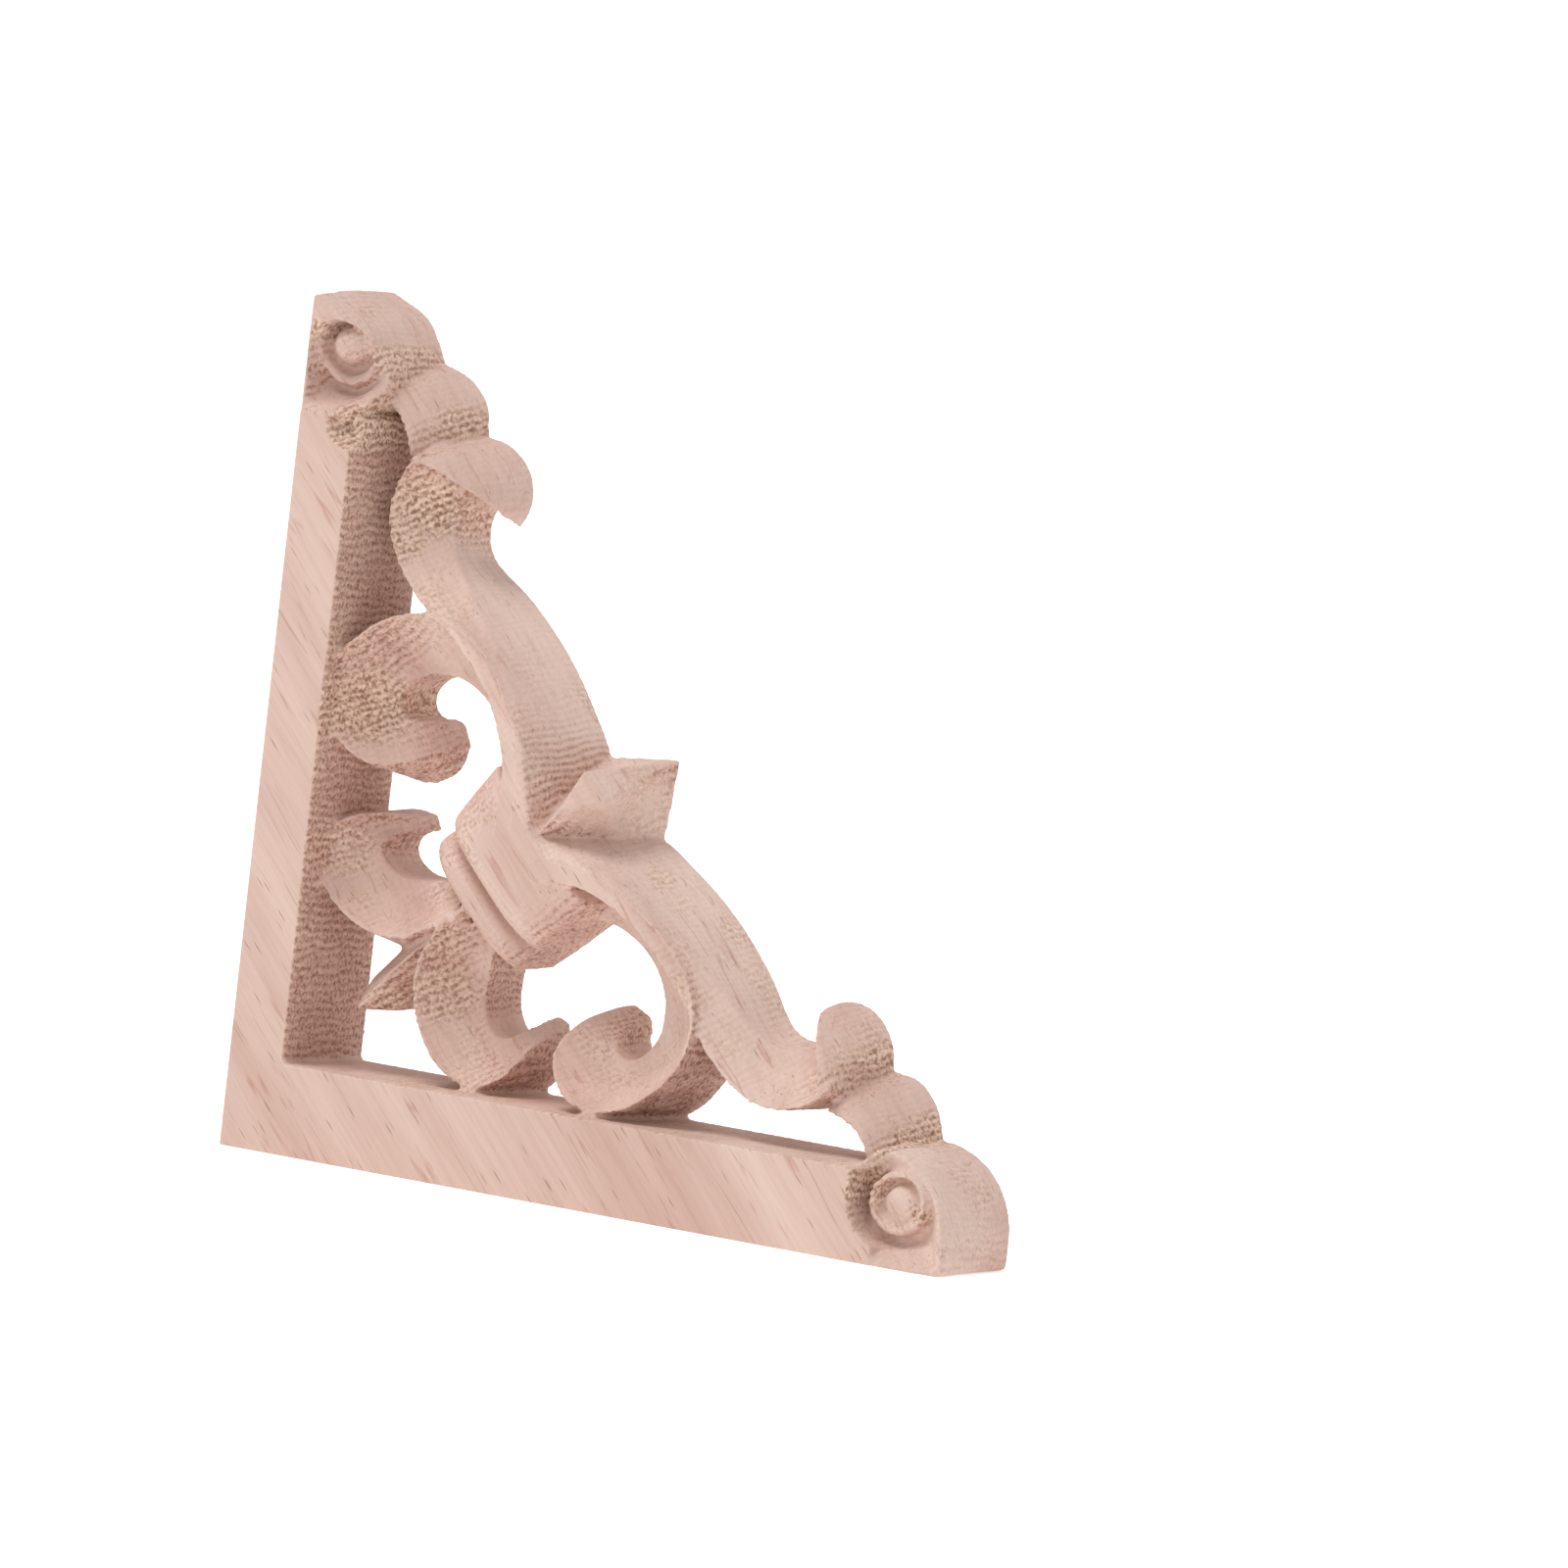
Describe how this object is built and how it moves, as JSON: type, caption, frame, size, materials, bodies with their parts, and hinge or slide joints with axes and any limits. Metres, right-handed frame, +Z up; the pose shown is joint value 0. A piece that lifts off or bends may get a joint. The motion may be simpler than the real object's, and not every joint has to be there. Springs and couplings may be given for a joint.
{
  "type": "carved wooden corner onlay",
  "caption": "Right-angled carved wood onlay: plain bars along two sides, mirrored scrolls, leaf and collar in the angle, flat back for gluing to a corner.",
  "frame": {"origin": "centre of the bounding box in plan, at the height of the bottom bar's underside", "axes": "+X along the bottom bar away from the corner, +Z up along the upright bar, +Y from the carved front to the flat back"},
  "size_m": [0.0998, 0.017, 0.1018],
  "materials": {
    "wood": "raw planed and carved pale hardwood, unvarnished"
  },
  "bodies": {
    "root": {"corner_onlay": "wood"}
  },
  "joints": []
}
